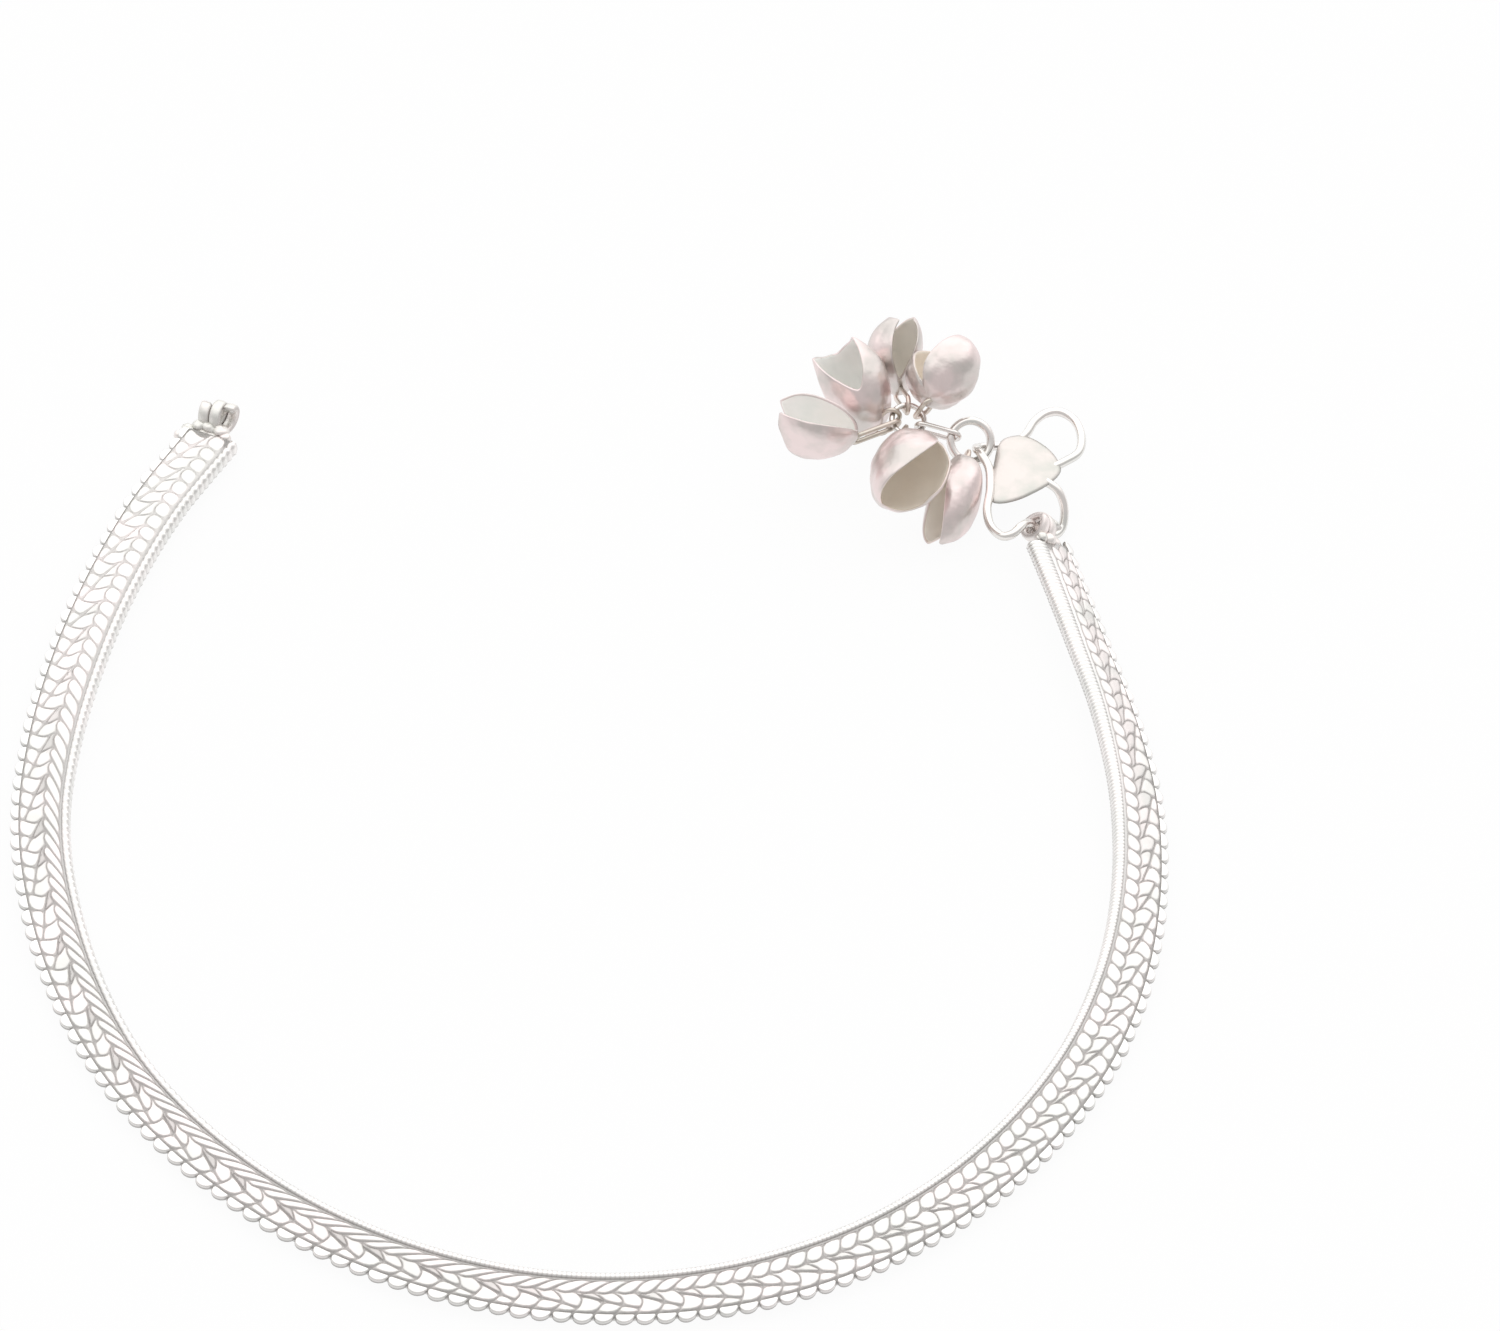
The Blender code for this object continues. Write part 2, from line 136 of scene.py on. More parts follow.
def edge_shift(share, v):
    """How far outward what belongs at v lies from its usual place, at a share of the band's length."""
    outer, inner = EDGE_SHIFTS[-1][1:]
    for (s0, outer0, inner0), (s1, outer1, inner1) in zip(EDGE_SHIFTS, EDGE_SHIFTS[1:]):
        if share <= s1:
            t = (share - s0) / (s1 - s0)
            t = t * t * (3 - 2 * t)
            outer, inner = outer0 + (outer1 - outer0) * t, inner0 + (inner1 - inner0) * t
            break
    t = min(max((v + FACE_EDGE) / (2 * FACE_EDGE), 0.0), 1.0)
    shift = inner + (outer - inner) * t
    if share > WALL_SHIFT_START and v < -FACE_EDGE:
        kept = (share - WALL_SHIFT_START) / (1 - WALL_SHIFT_START)
        shift *= 1 - kept * min((-v - FACE_EDGE) / (WALL_EDGE - FACE_EDGE), 1.0)
    return shift


def on_band(u, v, h):
    """The place u along the band from its free end, v outward across it and h above its middle, in mm."""
    share = min(max(u / BAND_LENGTH, 0.0), 1.0)
    v += edge_shift(share, v)
    t = share * (BAND_STATIONS - 1)
    i = min(int(t), BAND_STATIONS - 2)
    near, far = STATIONS[i], STATIONS[i + 1]
    centre, along, across, upward = [a.lerp(b, t - i) for a, b in zip(near, far)]
    over = u - min(max(u, 0.0), BAND_LENGTH)
    return centre + along * over + across * v + upward * h


def new_piece(name, bm, material, levels=0):
    """Turn a bmesh in millimetres into a finished piece of the anklet, in its place in metres."""
    bmesh.ops.transform(bm, matrix=Matrix.Scale(MM, 4) @ Matrix.Translation(SHIFT), verts=bm.verts)
    bmesh.ops.recalc_face_normals(bm, faces=bm.faces)
    mesh = bpy.data.meshes.new(name)
    bm.to_mesh(mesh)
    bm.free()
    mesh.materials.append(material)
    mesh.shade_smooth()
    piece = bpy.data.objects.new(name, mesh)
    bpy.context.scene.collection.objects.link(piece)
    if levels:
        rounding = piece.modifiers.new("rounding", "SUBSURF")
        rounding.levels = levels
        rounding.render_levels = levels
    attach(piece, "root")
    return piece


PATCH_SCALE = 300.0
PATCH_DETAIL = 3.0
PATCH_TINTS = ((0.38, (0.78, 0.79, 0.76, 1.0)), (0.6, (1.0, 0.93, 0.92, 1.0)))
SHADE_DULLING = 0.25
GRAIN_SCALE = 900.0
GRAIN_DETAIL = 2.0
GRAIN_DEPTH = 0.00015


def painted_shade_silver_group():
    """Silver's own colour with faint patches and a fine grain, with painted shade where the mask is high."""
    group = bpy.data.node_groups.new("patchy_silver_with_painted_shade", "ShaderNodeTree")
    sockets = group.interface
    for label, kind in (("Place", "NodeSocketVector"), ("Mask", "NodeSocketFloat"),
                        ("Bright", "NodeSocketColor"), ("Shade", "NodeSocketColor"),
                        ("Patches", "NodeSocketFloat"), ("Roughness", "NodeSocketFloat")):
        sockets.new_socket(label, in_out="INPUT", socket_type=kind)
    for label, kind in (("Colour", "NodeSocketColor"), ("Roughness", "NodeSocketFloat"),
                        ("Height", "NodeSocketFloat")):
        sockets.new_socket(label, in_out="OUTPUT", socket_type=kind)
    nodes, links = group.nodes, group.links
    given = nodes.new("NodeGroupInput")
    result = nodes.new("NodeGroupOutput")

    patches = nodes.new("ShaderNodeTexNoise")
    patches.inputs["Scale"].default_value = PATCH_SCALE
    patches.inputs["Detail"].default_value = PATCH_DETAIL
    links.new(given.outputs["Place"], patches.inputs["Vector"])
    tint = nodes.new("ShaderNodeValToRGB")
    for stop, (position, colour) in zip(tint.color_ramp.elements, PATCH_TINTS):
        stop.position = position
        stop.color = colour
    links.new(patches.outputs["Fac"], tint.inputs["Fac"])

    coloured = nodes.new("ShaderNodeMix")
    coloured.data_type = "RGBA"
    coloured.blend_type = "MULTIPLY"
    links.new(given.outputs["Patches"], coloured.inputs["Factor"])
    links.new(given.outputs["Bright"], coloured.inputs["A"])
    links.new(tint.outputs["Color"], coloured.inputs["B"])
    # Painted shade: the colour goes towards the shade colour where the mask is high
    shaded = nodes.new("ShaderNodeMix")
    shaded.data_type = "RGBA"
    links.new(given.outputs["Mask"], shaded.inputs["Factor"])
    links.new(coloured.outputs["Result"], shaded.inputs["A"])
    links.new(given.outputs["Shade"], shaded.inputs["B"])
    links.new(shaded.outputs["Result"], result.inputs["Colour"])

    dulled = nodes.new("ShaderNodeMath")
    dulled.operation = "MULTIPLY_ADD"
    dulled.inputs[1].default_value = SHADE_DULLING
    links.new(given.outputs["Mask"], dulled.inputs[0])
    links.new(given.outputs["Roughness"], dulled.inputs[2])
    links.new(dulled.outputs["Value"], result.inputs["Roughness"])

    grain = nodes.new("ShaderNodeTexNoise")
    grain.inputs["Scale"].default_value = GRAIN_SCALE
    grain.inputs["Detail"].default_value = GRAIN_DETAIL
    links.new(given.outputs["Place"], grain.inputs["Vector"])
    links.new(grain.outputs["Fac"], result.inputs["Height"])
    return group


PAINTED_SHADE_SILVER = painted_shade_silver_group()


def silver(name, bright, shade, roughness, patches, grain):
    """A silver finish with its own bright colour and painted shade colour, from the shared silver effect."""
    material = bpy.data.materials.new(name)
    material.use_nodes = True
    nodes, links = material.node_tree.nodes, material.node_tree.links
    shader = nodes["Principled BSDF"]
    wear = nodes.new("ShaderNodeGroup")
    wear.node_tree = PAINTED_SHADE_SILVER
    place = nodes.new("ShaderNodeTexCoord")
    mask = nodes.new("ShaderNodeAttribute")
    mask.attribute_name = "shade"
    links.new(place.outputs["Object"], wear.inputs["Place"])
    links.new(mask.outputs["Fac"], wear.inputs["Mask"])
    wear.inputs["Bright"].default_value = (*bright, 1.0)
    wear.inputs["Shade"].default_value = (*shade, 1.0)
    wear.inputs["Patches"].default_value = patches
    wear.inputs["Roughness"].default_value = roughness
    links.new(wear.outputs["Colour"], shader.inputs["Base Color"])
    links.new(wear.outputs["Roughness"], shader.inputs["Roughness"])
    bump = nodes.new("ShaderNodeBump")
    bump.inputs["Strength"].default_value = grain
    bump.inputs["Distance"].default_value = GRAIN_DEPTH
    links.new(wear.outputs["Height"], bump.inputs["Height"])
    links.new(bump.outputs["Normal"], shader.inputs["Normal"])
    shader.inputs["Metallic"].default_value = 1.0
    return material


CORE_PROFILE = [
    (2.25, 0.3), (2.15, 0.6), (1.95, 0.66), (1.75, 0.7), (0.0, 0.72), (-1.75, 0.7), (-1.95, 0.68),
    (-2.3, 0.6), (-2.6, 0.0), (-2.3, -0.7), (-1.5, -0.95), (1.2, -0.92), (1.6, -0.84), (2.0, -0.3),
]
CORE_STEP = 1.75
GROOVE_START = 1.7
OUTER_GROOVE_FOOT = 0.4
INNER_GROOVE_FOOT = 0.5
CORE_SHADE = 0.35
OUTER_GROOVE_SHADE = 0.85
INNER_GROOVE_SHADE = 0.6
PALER_START = 0.8
PALER_END = 0.95
PALER_BY = 0.8


def core_shade(share, v, h):
    """Painted shade, darkest in the grooves beside the face; the inner groove's grows paler at the clasp."""
    if v > GROOVE_START and h > OUTER_GROOVE_FOOT:
        return OUTER_GROOVE_SHADE
    if v < -GROOVE_START and h > INNER_GROOVE_FOOT:
        paler = max(0.0, min((share - PALER_START) / (PALER_END - PALER_START), 1.0))
        return INNER_GROOVE_SHADE * (1.0 - PALER_BY * paler)
    return CORE_SHADE


bm = bmesh.new()
shade = bm.verts.layers.float.new("shade")
spans = int(BAND_LENGTH / CORE_STEP)
bmesh.ops.create_grid(bm, x_segments=spans, y_segments=len(CORE_PROFILE), size=1.0)
for vert in bm.verts:
    u = (vert.co.x + 1) / 2 * BAND_LENGTH
    k = round((vert.co.y + 1) / 2 * len(CORE_PROFILE)) % len(CORE_PROFILE)
    v, h = CORE_PROFILE[k]
    vert[shade] = core_shade(u / BAND_LENGTH, v, h)
    vert.co = on_band(u, v, h)
bmesh.ops.remove_doubles(bm, verts=bm.verts, dist=MERGE_DISTANCE)
bmesh.ops.holes_fill(bm, edges=[edge for edge in bm.edges if edge.is_boundary], sides=0)
core_silver = silver("core_silver", bright=(0.93, 0.92, 0.91), shade=(0.30, 0.29, 0.28),
                     roughness=0.35, patches=0.3, grain=0.1)
band_core = new_piece("band_core", bm, core_silver)
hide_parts("woven_band")

# The woven face
# Rows of soft silver wire laid side by side across the band. Each wire crosses the face in three
# slanting stretches, dipping under its neighbours between them, so the face shows as rows of bright
# cells with dark gaps, and every second or third wire starts a V that points to the free end. The
# dark gaps, the dark wedges at the V's starts and the dimmer cells are painted shade.
WIRE_PITCH = 1.75
FACE_BASE = 0.68
WIRE_RISE = 0.20
STEEP_SHARE = 0.75
GAP_HALF_WIDTH = 0.065
SHOULDER_WIDTH = 0.13
FIRST_BEND = 0.40
FIRST_BEND_LEAN = 0.38
SECOND_BEND = 0.66
SECOND_BEND_LEAN = -0.12
LAST_LEAN = 0.2
LAST_LEAN_ADDED = 1.25
LEAN_GROWS = (0.08, 0.2)
LEAN_ENDS = (0.42, 0.62)
STRETCH_BOW = 0.06
EXTRA_DEPTHS = (0.0, 0.2, 0.53, 0.83, 1.0)
WANDER_ALONG = 0.26
WANDER_ACROSS = 0.16
WANDER_STEP = 0.91
WANDER_DEPTH_STEP = 3.7
ACROSS_LEVEL = 9.1
ARCH_RISE = 0.36
ARCH_UNEVENNESS = 0.5
ARCH_LEAN = 0.15
V_TOP = 0.14
V_APEX = 0.52
V_CURVE = 0.8
V_SPANS = (3, 3, 2)
DARK_GROWS = (0.05, 0.2)
DARK_ENDS = (0.42, 0.6)
DARK_LOSS = 0.75
# How much painted shade a cell gets at a V's start, in the middle stretches and in random blotches
V_START_TONE = 0.55
MIDDLE_TONE = 0.1
MIDDLE_SHADE_BLOTCH = 0.3
LAST_SHADE_BLOTCH = 0.2
CLASP_END_DARKENING = 0.3
CLASP_DARKENING_GROWS = (0.78, 0.9)
CLASP_DARKENING_MIDDLE = 0.5
# How much the gaps' painted shade fades at the free end, and over what share of the band
FREE_END_FADE = 0.5
FREE_END_REACH = 0.25
SHOULDER_TONE = 0.12
SAME_DEPTH = 1e-4
# Each chance: how much it changes from wire to wire, and its own lane
ARCH_CHANCE = (1.3, 7.0)
BLOTCH_CHANCE = (0.53, 4.0)
CLASP_DARKENING_CHANCE = (0.9, 2.0)


def eased_share(share, start, end):
    """From 0 at start to 1 at end, smoothly."""
    t = min(max((share - start) / (end - start), 0.0), 1.0)
    return t * t * (3 - 2 * t)


def wobble(k, step, lane, level=0.0):
    """A smooth chance value between about -1 and 1 for wire k, the same each time."""
    return noise.noise(Vector((k * step, lane, level)))


def last_lean(share):
    """How many pitches a wire's last stretch runs on by, at a share of the band's length."""
    kept = eased_share(share, *LEAN_GROWS) * (1 - eased_share(share, *LEAN_ENDS))
    return LAST_LEAN + LAST_LEAN_ADDED * kept


def wire_line(k, depth):
    """Where the gap before wire k crosses the face at a depth from the outer edge, 0, to the inner, 1."""
    share = k * WIRE_PITCH / BAND_LENGTH
    bends = (
        (0.0, 0.0), (FIRST_BEND, FIRST_BEND_LEAN), (SECOND_BEND, SECOND_BEND_LEAN), (1.0, last_lean(share)),
    )
    for (d0, lean0), (d1, lean1) in zip(bends, bends[1:]):
        if depth <= d1:
            lean = lean0 + (lean1 - lean0) * (depth - d0) / (d1 - d0)
            break
    bow = STRETCH_BOW * math.sin(math.pi * min(depth / FIRST_BEND, 1.0))
    return (k + lean + bow) * WIRE_PITCH, FACE_EDGE * (1 - 2 * depth)


def v_depths(line_count):
    """For each gap line, the depths of the V's edge just before it and just after it."""
    before, after, starts = [], [], []
    k = 0
    turn = 0
    while k <= line_count:
        span = V_SPANS[turn % len(V_SPANS)]
        for step in range(span):
            depth = V_APEX + (V_TOP - V_APEX) * (step / span) ** V_CURVE
            after.append(round(depth, 4))
            before.append(V_TOP if step == 0 else round(depth, 4))
            starts.append(step == 0)
        k += span
        turn += 1
    return before, after, starts


def corner(k, depth):
    """The shared corner of the cells at gap line k and a depth, made when it is first asked for."""
    key = (k, round(depth, 4))
    if key not in corners:
        u, v = wire_line(k, depth)
        lane = depth * WANDER_DEPTH_STEP
        u += WANDER_ALONG * wobble(k, WANDER_STEP, lane)
        v += WANDER_ACROSS * wobble(k, WANDER_STEP, lane, ACROSS_LEVEL) * (0 < depth < 1)
        corners[key] = bm.verts.new((u, v, 0.0))
        # Painted shade along the gaps, paler near the free end
        corners[key][shade] = 1.0 - FREE_END_FADE * (1 - eased_share(u / BAND_LENGTH, 0.0, FREE_END_REACH))
    return corners[key]


def arch(k):
    """The point between two corners of the second bend, where wire k's last stretch arches up."""
    key = ("arch", k)
    if key not in corners:
        u0, v0 = wire_line(k, SECOND_BEND)
        u1, v1 = wire_line(k + 1, SECOND_BEND)
        rise = ARCH_RISE * (1 + ARCH_UNEVENNESS * wobble(k, *ARCH_CHANCE))
        corners[key] = bm.verts.new(((u0 + u1) / 2 + ARCH_LEAN, (v0 + v1) / 2 + rise, 0.0))
        # Painted shade in the gap under the arch
        corners[key][shade] = 1.0
    return corners[key]


def cell(k, left, right, darkness):
    """One stretch of wire k, between the depths left on its first gap line and right on its second."""
    sides = []
    for line, (top, bottom) in ((k, left), (k + 1, right)):
        depths = sorted({*EXTRA_DEPTHS, FIRST_BEND, SECOND_BEND, before[line], after[line]})
        kept = [d for d in depths if top - SAME_DEPTH <= d <= bottom + SAME_DEPTH]
        sides.append([corner(line, d) for d in kept])
    ring = sides[0] + sides[1][::-1]
    if left[1] == SECOND_BEND:
        ring.insert(len(sides[0]), arch(k))
    elif left[0] == SECOND_BEND:
        ring.append(arch(k))
    face = bm.faces.new(ring)
    face[tone] = darkness


wire_count = int(BAND_LENGTH / WIRE_PITCH)
before, after, starts = v_depths(wire_count + 1)
bm = bmesh.new()
shade = bm.verts.layers.float.new("shade")
tone = bm.faces.layers.float.new("tone")
corners = {}
for k in range(wire_count):
    share = k * WIRE_PITCH / BAND_LENGTH
    # Painted shade in the cells: a dark wedge at each V's start and random blotches in the middle and last
    # stretches, strongest on the half of the band nearer the free end
    deep = eased_share(share, *DARK_GROWS) * (1 - DARK_LOSS * eased_share(share, *DARK_ENDS))
    # The cells grow darker towards the clasp end, unevenly from wire to wire
    clasp_darkening = CLASP_END_DARKENING * eased_share(share, *CLASP_DARKENING_GROWS)
    blotch = max(0.0, wobble(k, *BLOTCH_CHANCE))
    first_tone = clasp_darkening * (CLASP_DARKENING_MIDDLE + wobble(k, *CLASP_DARKENING_CHANCE))
    middle_tone = (V_START_TONE if starts[k] else MIDDLE_TONE + MIDDLE_SHADE_BLOTCH * blotch) * deep + clasp_darkening
    last_tone = LAST_SHADE_BLOTCH * blotch * deep + clasp_darkening * blotch
    cell(k, (0.0, after[k]), (0.0, before[k + 1]), first_tone)
    cell(k, (after[k], SECOND_BEND), (before[k + 1], SECOND_BEND), middle_tone)
    cell(k, (SECOND_BEND, 1.0), (SECOND_BEND, 1.0), last_tone)

cells = bm.faces[:]
for vert in bm.verts:
    vert.co.z = FACE_BASE
bmesh.ops.recalc_face_normals(bm, faces=cells)
if cells[0].normal.z < 0:
    bmesh.ops.reverse_faces(bm, faces=cells)
# Painted shade: full in the gaps, a little on the cells' steep sides, and each cell's own tone on its top
for width, rise_share, added_tone in (
    (GAP_HALF_WIDTH, STEEP_SHARE, SHOULDER_TONE),
    (SHOULDER_WIDTH, 1 - STEEP_SHARE, 0.0),
):
    bmesh.ops.inset_individual(bm, faces=cells, thickness=width, depth=WIRE_RISE * rise_share,
                               use_even_offset=True)
    for face in cells:
        for vert in face.verts:
            vert[shade] = added_tone + face[tone]
bmesh.ops.poke(bm, faces=cells)
for vert in bm.verts:
    vert.co = on_band(*vert.co)
weave_silver = silver("weave_silver", bright=(0.90, 0.885, 0.88), shade=(0.40, 0.38, 0.37),
                      roughness=0.32, patches=0.7, grain=0.3)
woven_face = new_piece("woven_face", bm, weave_silver, levels=1)
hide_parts("woven_band")

# The outer border
# Each wire turns round the band's outer edge as a small rounded loop, so that side of the band is a
# row of scallops with a straight dark line between them and the face. The scallops' lower steps and
# that line are painted shade.
SCALLOP_REACH = 0.80
SCALLOP_TUCK = 0.1
SCALLOP_HALF_WIDTH = 0.51
SCALLOP_PLACE = 0.42
SCALLOP_ROOT = 1.97
SCALLOP_TOP = 0.74
SCALLOP_DROP = 0.08
SCALLOP_LEAN = 0.2
SCALLOP_UNEVENNESS = 0.08
SCALLOP_CHANCE = (1.7, 0.3)
SCALLOP_SIDES = 18
SCALLOP_RIM_WIDTHS = (0.10, 0.22)
# How far each step of a scallop lies below its top, and its painted shade, from the foot to the crown
SCALLOP_STEPS = ((0.62, 0.9), (0.22, 0.75), (0.0, 0.0), (-0.04, 0.0))


def scallop_mesh():
    """A flat round disc of radius 1 with a stepped top, its height giving the step."""
    bm = bmesh.new()
    bmesh.ops.create_circle(bm, cap_ends=True, segments=SCALLOP_SIDES, radius=1.0)
    grown = bmesh.ops.extrude_face_region(bm, geom=bm.faces[:])["geom"]
    top = [item for item in grown if isinstance(item, bmesh.types.BMFace)]
    bmesh.ops.translate(bm, vec=(0, 0, 1), verts=top[0].verts)
    for width in SCALLOP_RIM_WIDTHS:
        bmesh.ops.inset_region(bm, faces=top, thickness=width)
        bmesh.ops.translate(bm, vec=(0, 0, 1), verts=top[0].verts)
    bmesh.ops.recalc_face_normals(bm, faces=bm.faces)
    mesh = bpy.data.meshes.new("scallop")
    bm.to_mesh(mesh)
    bm.free()
    return mesh


bm = bmesh.new()
shade = bm.verts.layers.float.new("shade")
template = scallop_mesh()
for k in range(wire_count + 1):
    first = len(bm.verts)
    bm.from_mesh(template)
    bm.verts.ensure_lookup_table()
    size = 1.0 + SCALLOP_UNEVENNESS * wobble(k, *SCALLOP_CHANCE)
    for vert in bm.verts[first:]:
        drop, vert[shade] = SCALLOP_STEPS[round(vert.co.z)]
        out = max(vert.co.y, -SCALLOP_TUCK) * SCALLOP_REACH * size
        u = (k + SCALLOP_PLACE + SCALLOP_HALF_WIDTH * vert.co.x * size) * WIRE_PITCH - SCALLOP_LEAN * out
        drop += SCALLOP_DROP * max(out, 0.0)
        vert.co = on_band(u, SCALLOP_ROOT + out, SCALLOP_TOP - drop)
bpy.data.meshes.remove(template)
border_silver = silver("border_silver", bright=(0.96, 0.95, 0.94), shade=(0.34, 0.33, 0.32),
                       roughness=0.28, patches=0.4, grain=0.1)
outer_border = new_piece("outer_border", bm, border_silver, levels=1)
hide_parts("woven_band")

# The inner border
# On the inner side the wires turn down over the edge close together, as fine ribs on a rounded wall.
# They are coarser and rounder on the half of the band nearer its free end.
RIB_PITCH = 0.4375
RIB_SAMPLES = 4
RIB_SINK = 0.05
COARSE_SINK = 0.07
COARSE_ENDS = (0.3, 0.45)
RIB_SHADE = 0.5
COARSE_SHADE = 0.3
COARSE_EDGE_SHADE = 0.35
WALL_PROFILE = [
    (-1.98, 0.62), (-2.12, 0.9), (-2.45, 0.92), (-2.72, 0.6), (-2.8, 0.1), (-2.72, -0.4), (-2.3, -0.8),
]
UPPER_ROWS = 3


def wall_shade(share, row, coarse, wave):
    """Painted shade in the groove beside the face, paler at the clasp, and between the ribs."""
    if row == 0:
        return 1.0 - PALER_BY * eased_share(share, PALER_START, PALER_END)
    between = RIB_SHADE + (COARSE_SHADE - RIB_SHADE) * coarse
    return between * (1 - wave) ** 2 + COARSE_EDGE_SHADE * coarse * (row == 1)


bm = bmesh.new()
shade = bm.verts.layers.float.new("shade")
ribs = int(BAND_LENGTH / RIB_PITCH)
bmesh.ops.create_grid(bm, x_segments=ribs * RIB_SAMPLES, y_segments=len(WALL_PROFILE) - 1, size=1.0)
for vert in bm.verts:
    u = (vert.co.x + 1) / 2 * ribs * RIB_PITCH
    row = round((vert.co.y + 1) / 2 * (len(WALL_PROFILE) - 1))
    v, h = WALL_PROFILE[row]
    coarse = 1 - eased_share(u / BAND_LENGTH, *COARSE_ENDS)
    fine_wave = 0.5 - 0.5 * math.cos(math.tau * u / RIB_PITCH)
    coarse_wave = 0.5 - 0.5 * math.cos(math.pi * u / RIB_PITCH)
    wave = fine_wave * (1 - coarse) + coarse_wave * coarse
    edge = row in (0, len(WALL_PROFILE) - 1)
    sink = (RIB_SINK + COARSE_SINK * coarse) * (1 - wave) * (not edge)
    vert[shade] = wall_shade(u / BAND_LENGTH, row, coarse, wave)
    vert.co = on_band(u, v + sink, h - sink * (row < UPPER_ROWS))
wall_silver = silver("wall_silver", bright=(0.96, 0.95, 0.94), shade=(0.42, 0.40, 0.39),
                     roughness=0.30, patches=0.4, grain=0.1)
inner_border = new_piece("inner_border", bm, wall_silver)
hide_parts("woven_band")

# The barrel eyes
# A flattened wire coiled into a barrel is soldered across each end of the band, with a lump and some
# beads of solder between the two. The hook goes through the barrel at the clasp end.
EYE_TURNS = 3
EYE_LENGTH = 3.6
EYE_MIDDLE_RADIUS = 1.32
EYE_WIRE_HALF_THICKNESS = 0.33
EYE_WIRE_SIDES = 12
EYE_WIRE_SQUARENESS = 0.5
EYE_WIRE_GAP = 0.02
EYE_SEAM_SHADE = 0.8
EYE_SEAM_SHARPNESS = 8
EYE_STEPS = 26
NECK_LENGTH = 0.8
FREE_EYE_RISE = 0.8
CLASP_EYE_RISE = 0.0
CLASP_EYE_ROLL = math.radians(50)
SOLDER_PLACE = 0.35
SOLDER_SIZE = (1.7, 0.8, 0.6)
SOLDER_UNEVENNESS = 0.18
SOLDER_LUMPINESS = 1.6
SOLDER_SIDES = 20
SOLDER_ROWS = 12
SOLDER_SHADE = 0.8
SOLDER_SHADE_START = 0.1
BEAD_SHAPE = (1.0, 0.9, 0.8)
# Each bead: its places across, outward and upward from the lump's middle, and its size
FREE_BEADS = (
    (2.2, -0.2, 0.2, 0.75), (2.7, -1.0, 0.0, 0.6), (1.3, 0.55, 0.45, 0.8), (0.2, 0.6, 0.55, 0.85),
    (-1.0, 0.6, 0.5, 0.85), (-1.7, 0.2, 0.3, 0.6),
)
CLASP_BEADS = (
    (1.9, -0.3, 0.3, 0.75), (0.9, 0.2, 0.5, 0.75), (-0.2, 0.1, 0.6, 0.75), (2.3, 0.6, 0.1, 0.7),
    (-1.2, 0.0, 0.4, 0.6),
)


def eye_frame(end, outward, across, upward, rise):
    """The barrel's own frame, with its axis across the band, beyond one of its ends."""
    centre = end + outward * (NECK_LENGTH + EYE_MIDDLE_RADIUS + EYE_WIRE_HALF_THICKNESS) + upward * rise
    turn = Matrix((upward, outward * -1, across)).transposed()
    if turn.determinant() < 0:
        turn = Matrix((upward, outward, across)).transposed()
    return Matrix.Translation(centre) @ turn.to_4x4()


def coil(bm, shade, placing):
    """The coiled barrel: one flattened wire section spun round the axis and along it."""
    pitch = EYE_LENGTH / EYE_TURNS
    half_width = pitch / 2 * (1 - EYE_WIRE_GAP)
    section = bmesh.ops.create_circle(bm, cap_ends=True, segments=EYE_WIRE_SIDES, radius=1.0)["verts"]
    for vert in section:
        a, b, _ = vert.co
        b = math.copysign(abs(b) ** EYE_WIRE_SQUARENESS, b)
        # Painted shade in the seams between the wire's turns
        vert[shade] = abs(b) ** EYE_SEAM_SHARPNESS * EYE_SEAM_SHADE
        vert.co = Vector((EYE_MIDDLE_RADIUS + EYE_WIRE_HALF_THICKNESS * a, 0.0, half_width * b - pitch))
    turns = EYE_TURNS - 1
    bmesh.ops.spin(bm, geom=section[0].link_faces[:], cent=(0, 0, 0), axis=(0, 0, 1),
                   dvec=(0, 0, pitch / EYE_STEPS), angle=math.tau * turns, steps=EYE_STEPS * turns)
    bmesh.ops.transform(bm, matrix=placing, verts=bm.verts)


def solder(bm, shade, beads, middle, outward, across, upward):
    """A rounded lump of solder between the barrel and the band, with smaller beads of it about."""
    lumps = [(Vector(), SOLDER_SIZE)]
    for x, y, z, size in beads:
        offset = across * x + outward * y + upward * z
        lumps.append((offset, [size * share for share in BEAD_SHAPE]))
    for offset, size in lumps:
        lump = bmesh.ops.create_uvsphere(bm, u_segments=SOLDER_SIDES, v_segments=SOLDER_ROWS, radius=1.0)
        for vert in lump["verts"]:
            a, b, c = vert.co
            swell = 1 + SOLDER_UNEVENNESS * noise.noise(vert.co * SOLDER_LUMPINESS + offset)
            # Painted shade on the underside of the lump and of each bead
            vert[shade] = max(0.0, -c - SOLDER_SHADE_START) * SOLDER_SHADE
            reach = across * a * size[0] + outward * b * size[1] + upward * c * size[2]
            vert.co = middle + offset + reach * swell


eye_silver = silver("eye_silver", bright=(0.97, 0.95, 0.94), shade=(0.58, 0.54, 0.53),
                    roughness=0.42, patches=0.9, grain=0.3)
for name, (end, along, _, _), sign, roll, rise, beads in (
    ("free_end_eye", STATIONS[0], -1, BAND_LEAN, FREE_EYE_RISE, FREE_BEADS),
    ("clasp_end_eye", STATIONS[-1], 1, CLASP_EYE_ROLL, CLASP_EYE_RISE, CLASP_BEADS),
):
    across, upward = rolled(along, roll)
    outward = along * sign
    bm = bmesh.new()
    shade = bm.verts.layers.float.new("shade")
    coil(bm, shade, eye_frame(end, outward, across, upward, rise))
    solder(bm, shade, beads, end + outward * SOLDER_PLACE, outward, across, upward)
    eye = new_piece(name, bm, eye_silver)
    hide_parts("woven_band")

